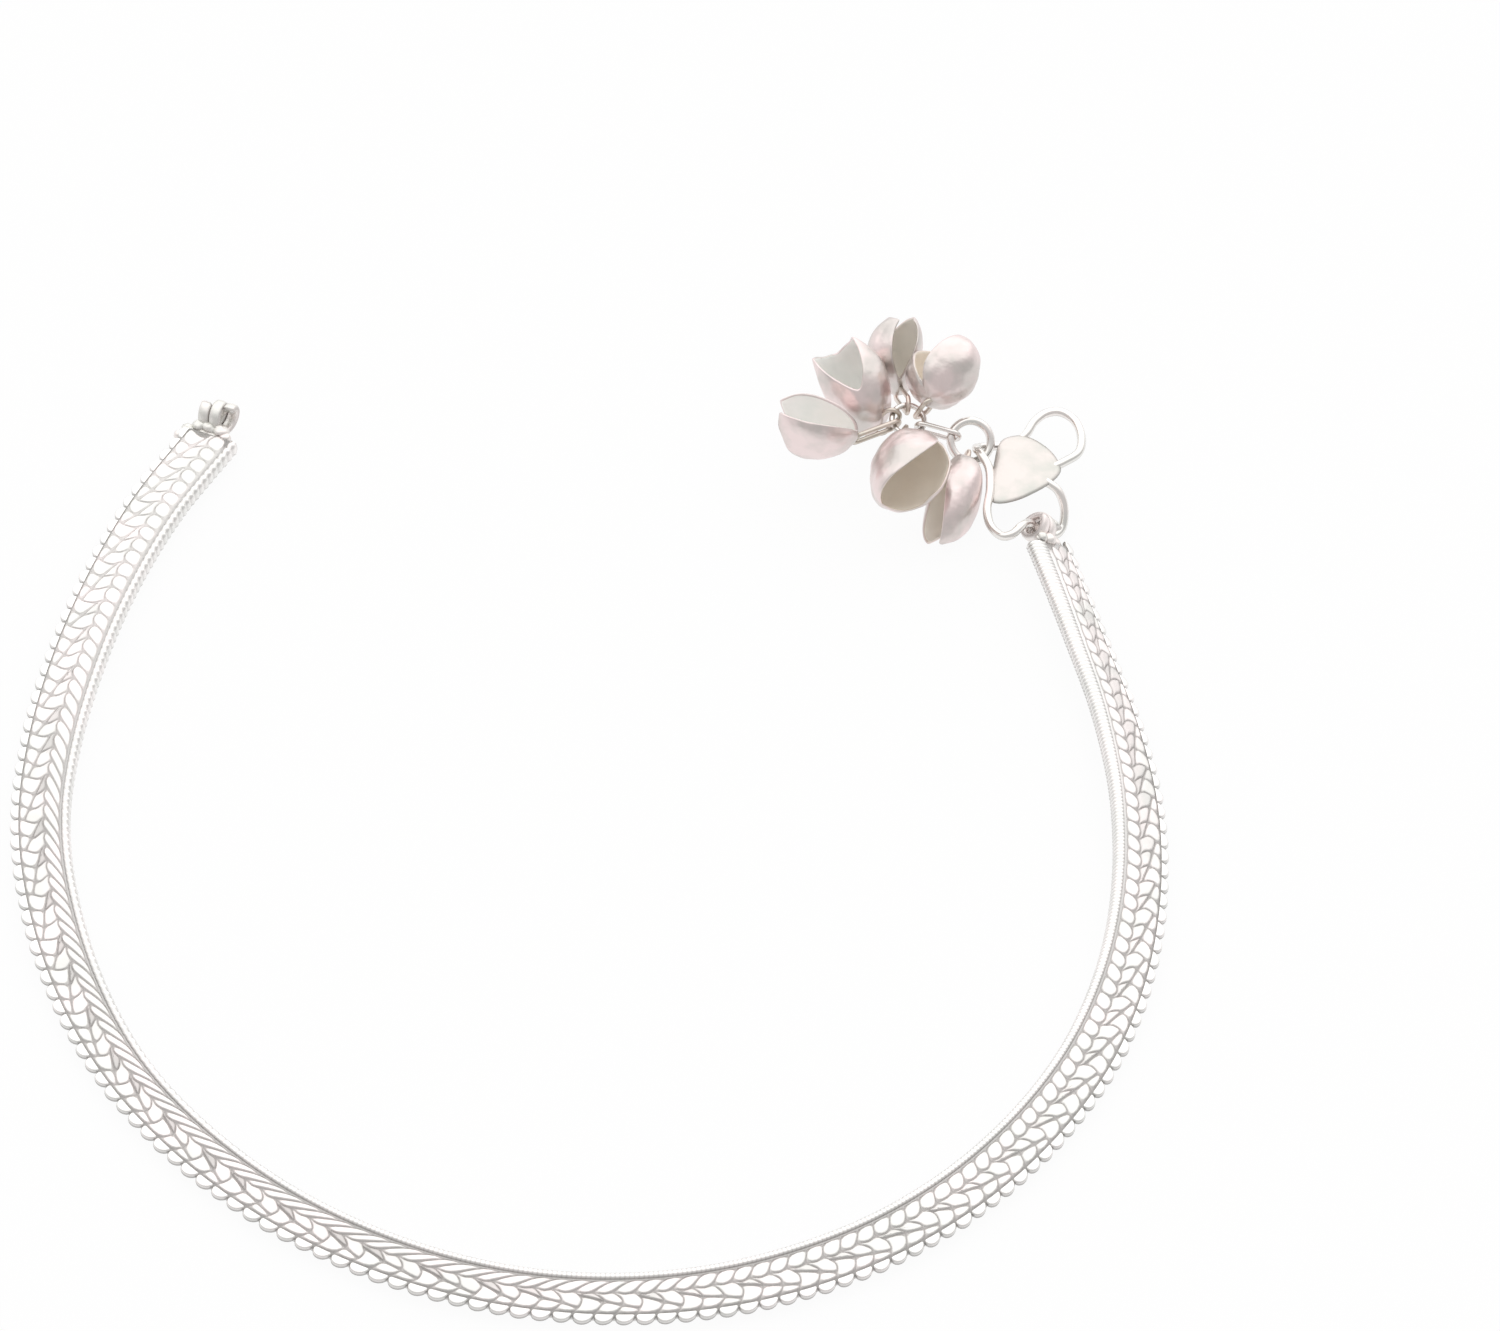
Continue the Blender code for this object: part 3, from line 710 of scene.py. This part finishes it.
# The hook clasp
# One length of round silver wire bent into an open upper loop and a lower loop that goes through the
# band's barrel eye, with a thin domed leaf plate soldered across it. The plate is plain.
WIRE_ROUNDNESS = 4
UNDERSIDE_START = 0.1
UNDERSIDE_SHADE = 1.2
HOOK_WIRE_RADIUS = 0.43
HOOK_POINTS = 150
HOOK_ROUTE = [
    (39.6, 44.9, 3.8), (40.9, 45.8, 4.0), (42.3, 47.3, 4.1), (42.4, 49.4, 4.3), (41.6, 51.3, 4.4),
    (40.2, 52.1, 4.5), (38.8, 51.7, 4.5), (37.7, 50.4, 4.4), (37.0, 48.9, 4.0), (35.8, 48.0, 3.4),
    (34.2, 47.9, 3.0), (32.7, 47.2, 3.3), (32.3, 46.3, 4.0), (32.8, 45.0, 4.6), (33.7, 43.3, 4.5),
    (34.0, 40.8, 4.2), (33.9, 38.2, 4.0), (34.4, 36.1, 4.0), (35.5, 34.6, 4.4), (36.5, 34.6, 4.8),
    (37.2, 35.6, 4.9), (38.0, 37.1, 4.0), (39.2, 37.9, 2.4), (40.1, 38.4, 1.3), (40.9, 39.1, 0.75),
    (41.5, 40.2, 1.0), (41.4, 41.4, 2.3), (40.6, 42.4, 3.5), (39.3, 43.0, 4.0),
]
LEAF_HEIGHT = 4.55
LEAF_DOME = 0.5
LEAF_THICKNESS = 0.65
LEAF_UNEVENNESS = 0.22
LEAF_DENTS_PER_MM = 0.7
LEAF_RING_WIDTHS = (0.35, 0.25, 0.8, 0.8)
LEAF_OUTLINE = [
    (33.6, 38.8), (36.2, 39.4), (38.3, 40.9), (40.0, 42.6), (40.9, 44.2), (40.9, 45.3),
    (40.1, 46.7), (38.8, 48.0), (37.0, 49.0), (35.4, 48.7), (34.3, 47.7), (34.1, 45.1), (33.9, 42.0),
]


def wire_bmesh(points, radius, closed=False):
    """Round wire along points, with painted shade on its underside."""
    curve = bpy.data.curves.new("wire", "CURVE")
    curve.dimensions = "3D"
    curve.bevel_depth = radius
    curve.bevel_resolution = WIRE_ROUNDNESS
    curve.use_fill_caps = not closed
    spline = curve.splines.new("POLY")
    spline.points.add(len(points) - 1)
    for slot, point in zip(spline.points, points):
        slot.co = (*point, 1.0)
    spline.use_cyclic_u = closed
    holder = bpy.data.objects.new("wire", curve)
    mesh = bpy.data.meshes.new_from_object(holder)
    bpy.data.objects.remove(holder, do_unlink=True)
    bm = bmesh.new()
    bm.from_mesh(mesh)
    bpy.data.meshes.remove(mesh)
    shade = bm.verts.layers.float.new("shade")
    bm.normal_update()
    for vert in bm.verts:
        vert[shade] = min(max(-UNDERSIDE_START - vert.normal.z, 0.0) * UNDERSIDE_SHADE, 1.0)
    return bm


clasp_silver = silver("clasp_silver", bright=(0.90, 0.88, 0.86), shade=(0.38, 0.37, 0.34),
                      roughness=0.18, patches=0.5, grain=0.05)
bm = wire_bmesh(smooth_points(HOOK_ROUTE, HOOK_POINTS), HOOK_WIRE_RADIUS)
hook_wire = new_piece("hook_wire", bm, clasp_silver)
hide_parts("hook_clasp")

bm = bmesh.new()
shade = bm.verts.layers.float.new("shade")
rim = [bm.verts.new((x, y, 0.0)) for x, y in LEAF_OUTLINE]
face = bm.faces.new(rim)
middle = sum((vert.co for vert in rim), Vector()) / len(rim)
for width in LEAF_RING_WIDTHS:
    bmesh.ops.inset_region(bm, faces=[face], thickness=width, depth=0.0)
bmesh.ops.poke(bm, faces=[face])
reach = max((vert.co - middle).length for vert in bm.verts)
for vert in bm.verts:
    share = (vert.co - middle).length / reach
    dent = LEAF_UNEVENNESS * noise.noise(vert.co * LEAF_DENTS_PER_MM)
    vert.co.z = LEAF_HEIGHT - LEAF_DOME * share ** 2 + dent
top = set(bm.verts)
bmesh.ops.recalc_face_normals(bm, faces=bm.faces)
bmesh.ops.solidify(bm, geom=bm.faces[:], thickness=LEAF_THICKNESS)
# Painted shade on the plate's sides and underside; its top has none
for vert in bm.verts:
    vert[shade] = 0.0 if vert in top else 1.0
leaf_silver = silver("leaf_silver", bright=(0.72, 0.71, 0.685), shade=(0.30, 0.29, 0.28),
                     roughness=0.34, patches=0.8, grain=0.4)
leaf_plate = new_piece("leaf_plate", bm, leaf_silver, levels=2)
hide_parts("hook_clasp")

# The rings and the link
# A thick jump ring holds the bell cluster on the hook, a thin one gathers the bells' shanks, and a
# long thin loop of wire links the two.
RINGS = {
    "bell_ring": {"centre": (31.7, 46.9, 4.3), "normal": (0.2, -0.6, 0.77), "radius": 2.0, "wire": 0.42},
    "gather_ring": {"centre": (25.4, 47.6, 5.5), "normal": (0.1, -0.3, 0.95), "radius": 1.6, "wire": 0.28},
}
RING_SIDES = 64
LINK_PLACES = {"gather_ring": 342, "bell_ring": 180}
SHANK_HALF_WIDTH = 0.8
SHANK_WIRE = 0.24
LOOP_STEPS = 14
LOOP_CLEARANCE = 0.12


def frame_matrix(origin, z_axis, y_hint):
    """A local frame at origin: Z along z_axis, Y as near to y_hint as it can be."""
    z = Vector(z_axis).normalized()
    x = Vector(y_hint).cross(z).normalized()
    turn = Matrix((x, z.cross(x), z)).transposed().to_4x4()
    return Matrix.Translation(Vector(origin)) @ turn


def ring_point(ring, degrees):
    """The middle of a ring's wire at an angle round the ring, with the wire's direction there."""
    angle = math.radians(degrees)
    placing = frame_matrix(ring["centre"], ring["normal"], (0, 1, 0))
    outward = Vector((math.cos(angle), math.sin(angle), 0.0))
    tangent = Vector((-outward.y, outward.x, 0.0))
    return placing @ (outward * ring["radius"]), placing.to_3x3() @ tangent


def loop_end(ring, degrees, other_end):
    """Where a thin loop from other_end turns back round a ring's wire, and the loop's side direction."""
    middle, tangent = ring_point(ring, degrees)
    away = (middle - Vector(other_end)).normalized()
    place = middle + away * (ring["wire"] + SHANK_WIRE + LOOP_CLEARANCE)
    return place, away.cross(tangent)


def loop_points(start, end, side):
    """A long narrow loop with round ends at start and end, in the plane of side."""
    along = (end - start).normalized()
    side = (side - along * along.dot(side)).normalized()
    points = []
    for middle, facing in ((end - along * SHANK_HALF_WIDTH, 1), (start + along * SHANK_HALF_WIDTH, -1)):
        for i in range(LOOP_STEPS + 1):
            angle = math.pi * (i / LOOP_STEPS - 0.5)
            turned = along * math.cos(angle) + side * math.sin(angle)
            points.append(middle + turned * SHANK_HALF_WIDTH * facing)
    return points


ring_silver = silver("ring_silver", bright=(0.88, 0.86, 0.84), shade=(0.36, 0.34, 0.32),
                     roughness=0.20, patches=0.5, grain=0.05)
for name, ring in RINGS.items():
    points = [ring_point(ring, 360 * i / RING_SIDES)[0] for i in range(RING_SIDES)]
    bm = wire_bmesh(points, ring["wire"], closed=True)
    piece = new_piece(name + "_wire", bm, ring_silver)
    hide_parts(name)

small, big = RINGS["gather_ring"], RINGS["bell_ring"]
small_place, _ = ring_point(small, LINK_PLACES["gather_ring"])
big_place, _ = ring_point(big, LINK_PLACES["bell_ring"])
start, side = loop_end(small, LINK_PLACES["gather_ring"], big_place)
end, _ = loop_end(big, LINK_PLACES["bell_ring"], small_place)
bm = wire_bmesh(loop_points(start, end, side), SHANK_WIRE, closed=True)
link_wire = new_piece("link_wire", bm, ring_silver)
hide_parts("ring_link")

# The bells
# Six hollow drops pressed from thin sheet silver, each slit from its mouth into two jaws with a deep V
# on either side, dented by wear, and with a wire shank soldered in its crown.
BELL_WALL = 0.3
INSIDE_METALLIC = 0.1
DENT_DEPTH = 0.34
DENT_WIDTH = 2.6
SCUFF_DEPTH = 0.16
SCUFF_WIDTH = 1.1
BELL_SIDES = 56
OUTER_STEPS = 16
INNER_STEPS = 12
SHANK_SINK = 0.15
# Each bell: its crown, the directions of its mouth and of its front V, its length, its half widths
# between the jaws and from side to side, how far it bulges to one jaw, how far round from the crown
# the jaws' tips and the bottoms of the front and back V reach in degrees, how steep the V is, the ring
# it hangs on with the angle round it, and how much painted shade darkens its inside.
BELLS = [
    {"name": "bell_1", "pole": (20.4, 43.8, 5.6), "mouth": (-0.92, 0.06, 0.39),
     "notch": (0.39, -0.02, 0.92), "length": 8.6, "jaw": 2.5, "side": 3.6, "bulge": 0.8,
     "tip": 160, "front": 25, "back": 78, "power": 2.0, "ring": "gather_ring", "angle": 213, "inside": 0.0},
    {"name": "bell_2", "pole": (22.4, 47.7, 3.0), "mouth": (-0.58, 0.52, 0.63),
     "notch": (0.03, -0.75, 0.66), "length": 10.9, "jaw": 3.3, "side": 3.4, "bulge": -0.7,
     "tip": 138, "front": 83, "back": 125, "power": 1.3, "ring": "gather_ring", "angle": 172, "inside": 0.0},
    {"name": "bell_3", "pole": (24.0, 54.9, 1.9), "mouth": (0.03, 0.32, 0.95),
     "notch": (0.23, -0.92, 0.30), "length": 8.3, "jaw": 2.6, "side": 3.1, "bulge": 0.7,
     "tip": 163, "front": 71, "back": 100, "power": 1.0, "ring": "gather_ring", "angle": 100, "inside": 0.4},
    {"name": "bell_4", "pole": (27.4, 47.9, 8.3), "mouth": (0.21, 0.97, 0.07),
     "notch": (-0.73, 0.12, 0.67), "length": 7.8, "jaw": 4.0, "side": 3.3, "bulge": -0.1,
     "tip": 151, "front": 28, "back": 59, "power": 0.7, "ring": "gather_ring", "angle": 40, "inside": 0.9},
    {"name": "bell_5", "pole": (24.4, 43.1, 6.6), "mouth": (0.20, -0.91, 0.36),
     "notch": (0.72, 0.38, 0.58), "length": 10.6, "jaw": 3.0, "side": 4.4, "bulge": 0.8,
     "tip": 130, "front": 40, "back": 117, "power": 0.5, "ring": "gather_ring", "angle": 262, "inside": 0.75},
    {"name": "bell_6", "pole": (31.6, 44.6, 4.5), "mouth": (-0.25, -0.91, -0.32),
     "notch": (-0.63, -0.10, 0.77), "length": 10.3, "jaw": 2.5, "side": 2.6, "bulge": 0.5,
     "tip": 162, "front": 46, "back": 61, "power": 0.8, "ring": "bell_ring", "angle": 270, "inside": 0.6},
]


def bell_point(row, step, turn, inset):
    """A point of a bell's sheet: step runs from the crown to the rim, turn once round the axis."""
    notch = math.radians(row["front"] if math.sin(turn) > 0 else row["back"])
    tip = math.radians(row["tip"])
    polar = step * (notch + (tip - notch) * abs(math.cos(turn)) ** row["power"])
    half = row["length"] / 2 - inset
    return Vector((
        (row["jaw"] - inset) * math.sin(polar) * math.cos(turn) + row["bulge"] * math.sin(polar) ** 2,
        (row["side"] - inset) * math.sin(polar) * math.sin(turn),
        inset + half * (1 - math.cos(polar)),
    ))


def bell_bmesh(row):
    """The pressed sheet: a line from the crown to the rim and back inside, spun round, then shaped."""
    bm = bmesh.new()
    shade = bm.verts.layers.float.new("shade")
    last = OUTER_STEPS + INNER_STEPS + 1
    line = [bm.verts.new((0.0 if i in (0, last) else 1.0, 0.0, i)) for i in range(last + 1)]
    edges = [bm.edges.new(pair) for pair in zip(line, line[1:])]
    bmesh.ops.spin(bm, geom=line + edges, cent=(0, 0, 0), axis=(0, 0, 1), angle=math.tau, steps=BELL_SIDES,
                   use_merge=True)
    bmesh.ops.remove_doubles(bm, verts=bm.verts, dist=MERGE_DISTANCE)
    placing = frame_matrix(row["pole"], row["mouth"], row["notch"])
    axis_point = placing @ Vector((0, 0, row["length"] / 2))
    inner = set()
    for vert in bm.verts:
        index = round(vert.co.z)
        turn = math.atan2(vert.co.y, vert.co.x)
        inside = index > OUTER_STEPS
        step = (last - index) / INNER_STEPS if inside else index / OUTER_STEPS
        point = placing @ bell_point(row, step, turn, BELL_WALL if inside else 0.0)
        dent = DENT_DEPTH * noise.noise(point / DENT_WIDTH)
        dent += SCUFF_DEPTH * noise.noise(point / SCUFF_WIDTH)
        # Painted shade on the inside, as much as the bell's row gives
        vert[shade] = row["inside"] if inside else 0.0
        vert.co = point + (point - axis_point).normalized() * dent
        if inside:
            inner.add(vert)
    for face in bm.faces:
        face.material_index = int(all(vert in inner for vert in face.verts))
    return bm


# The bell silver's shade colour is painted shade where the rim meets the inside. The inside silver is a
# whiter, barely metallic copy, as painted light inside the bells, with a warm painted shade colour.
bell_silver = silver("bell_silver", bright=(0.84, 0.775, 0.77), shade=(0.80, 0.72, 0.62),
                     roughness=0.36, patches=1.0, grain=0.6)
inside_silver_painted_light_and_shade = silver("inside_silver_painted_light_and_shade", bright=(1.0, 1.0, 0.98), shade=(0.86, 0.785, 0.69),
                       roughness=0.5, patches=0.4, grain=0.3)
inside_silver_painted_light_and_shade.node_tree.nodes["Principled BSDF"].inputs["Metallic"].default_value = INSIDE_METALLIC
# The shanks' silver is darker and browner than the rest, as painted shade for the hollow among the bells
shank_silver = silver("shank_silver", bright=(0.78, 0.72, 0.66), shade=(0.32, 0.27, 0.23),
                      roughness=0.28, patches=1.0, grain=0.3)
for row in BELLS:
    cup = new_piece(row["name"] + "_cup", bell_bmesh(row), bell_silver, levels=1)
    cup.data.materials.append(inside_silver_painted_light_and_shade)
    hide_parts(row["name"])
    pole = frame_matrix(row["pole"], row["mouth"], row["notch"]) @ Vector((0, 0, SHANK_SINK))
    end, side = loop_end(RINGS[row["ring"]], row["angle"], pole)
    bm = wire_bmesh(loop_points(pole, end, side), SHANK_WIRE, closed=True)
    shank = new_piece(row["name"] + "_shank", bm, shank_silver)
    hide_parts(row["name"])

# The floor, the light and the camera
# A plain white floor under soft studio light from a large overhead panel, and the view of the whole
# anklet from the front and above.
FLOOR_HALF_WIDTH = 1.5
FLOOR_GLOW = 0.94
FLOOR_BASE = 0.05
FLOOR_ROUGHNESS = 0.9
PANEL_DIRECTION = (-0.12, 0.66, 0.74)
PANEL_EDGE = 0.1
PANEL_CORE = 0.85
ROOM_BRIGHTNESS = 0.62
PANEL_BRIGHTNESS = 1.45
LIGHT_COLOUR = (1.0, 0.995, 0.99, 1.0)

bm = bmesh.new()
bmesh.ops.create_grid(bm, x_segments=1, y_segments=1, size=FLOOR_HALF_WIDTH)
floor_mesh = bpy.data.meshes.new("floor")
bm.to_mesh(floor_mesh)
bm.free()
floor = bpy.data.objects.new("floor", floor_mesh)
bpy.context.scene.collection.objects.link(floor)
paper = bpy.data.materials.new("white_paper")
paper.use_nodes = True
paper_shader = paper.node_tree.nodes["Principled BSDF"]
paper_shader.inputs["Base Color"].default_value = (FLOOR_BASE, FLOOR_BASE, FLOOR_BASE, 1.0)
paper_shader.inputs["Roughness"].default_value = FLOOR_ROUGHNESS
paper_shader.inputs["Specular IOR Level"].default_value = 0.0
paper_shader.inputs["Emission Color"].default_value = (1.0, 1.0, 1.0, 1.0)
paper_shader.inputs["Emission Strength"].default_value = FLOOR_GLOW
floor_mesh.materials.append(paper)

world = bpy.data.worlds.new("studio")
bpy.context.scene.world = world
world.use_nodes = True
nodes, links = world.node_tree.nodes, world.node_tree.links
place = nodes.new("ShaderNodeTexCoord")
towards_panel = nodes.new("ShaderNodeVectorMath")
towards_panel.operation = "DOT_PRODUCT"
towards_panel.inputs[1].default_value = PANEL_DIRECTION
links.new(place.outputs["Generated"], towards_panel.inputs[0])
glow = nodes.new("ShaderNodeMapRange")
glow.interpolation_type = "SMOOTHERSTEP"
glow.inputs["From Min"].default_value = PANEL_EDGE
glow.inputs["From Max"].default_value = PANEL_CORE
glow.inputs["To Min"].default_value = ROOM_BRIGHTNESS
glow.inputs["To Max"].default_value = PANEL_BRIGHTNESS
links.new(towards_panel.outputs["Value"], glow.inputs["Value"])
links.new(glow.outputs["Result"], nodes["Background"].inputs["Strength"])
nodes["Background"].inputs["Color"].default_value = LIGHT_COLOUR

# The camera looks down at the table from the front, turned a little, from well over half a metre away
CAMERA_ELEVATION = math.radians(47.5)
CAMERA_ROLL = math.radians(-6.7)
CAMERA_LENS = 168.0
CAMERA_SENSOR = 36.0
CAMERA_DISTANCE = 0.665549
CAMERA_NEAREST = 0.01
CAMERA_LOOK = Vector((12.9, 18.0, 0.0))

forward = Vector((0, math.cos(CAMERA_ELEVATION), -math.sin(CAMERA_ELEVATION)))
level_right = Vector((1, 0, 0))
level_up = Vector((0, math.sin(CAMERA_ELEVATION), math.cos(CAMERA_ELEVATION)))
image_right = level_right * math.cos(CAMERA_ROLL) - level_up * math.sin(CAMERA_ROLL)
image_up = level_right * math.sin(CAMERA_ROLL) + level_up * math.cos(CAMERA_ROLL)
camera = bpy.data.cameras.new("camera")
camera.sensor_width = CAMERA_SENSOR
camera.lens = CAMERA_LENS
camera.clip_start = CAMERA_NEAREST
camera_holder = bpy.data.objects.new("camera", camera)
bpy.context.scene.collection.objects.link(camera_holder)
placing = Matrix((image_right, image_up, -forward)).transposed().to_4x4()
placing.translation = (CAMERA_LOOK + SHIFT) * MM - forward * CAMERA_DISTANCE
camera_holder.matrix_world = placing
bpy.context.scene.camera = camera_holder
bpy.context.scene.view_settings.view_transform = "Standard"
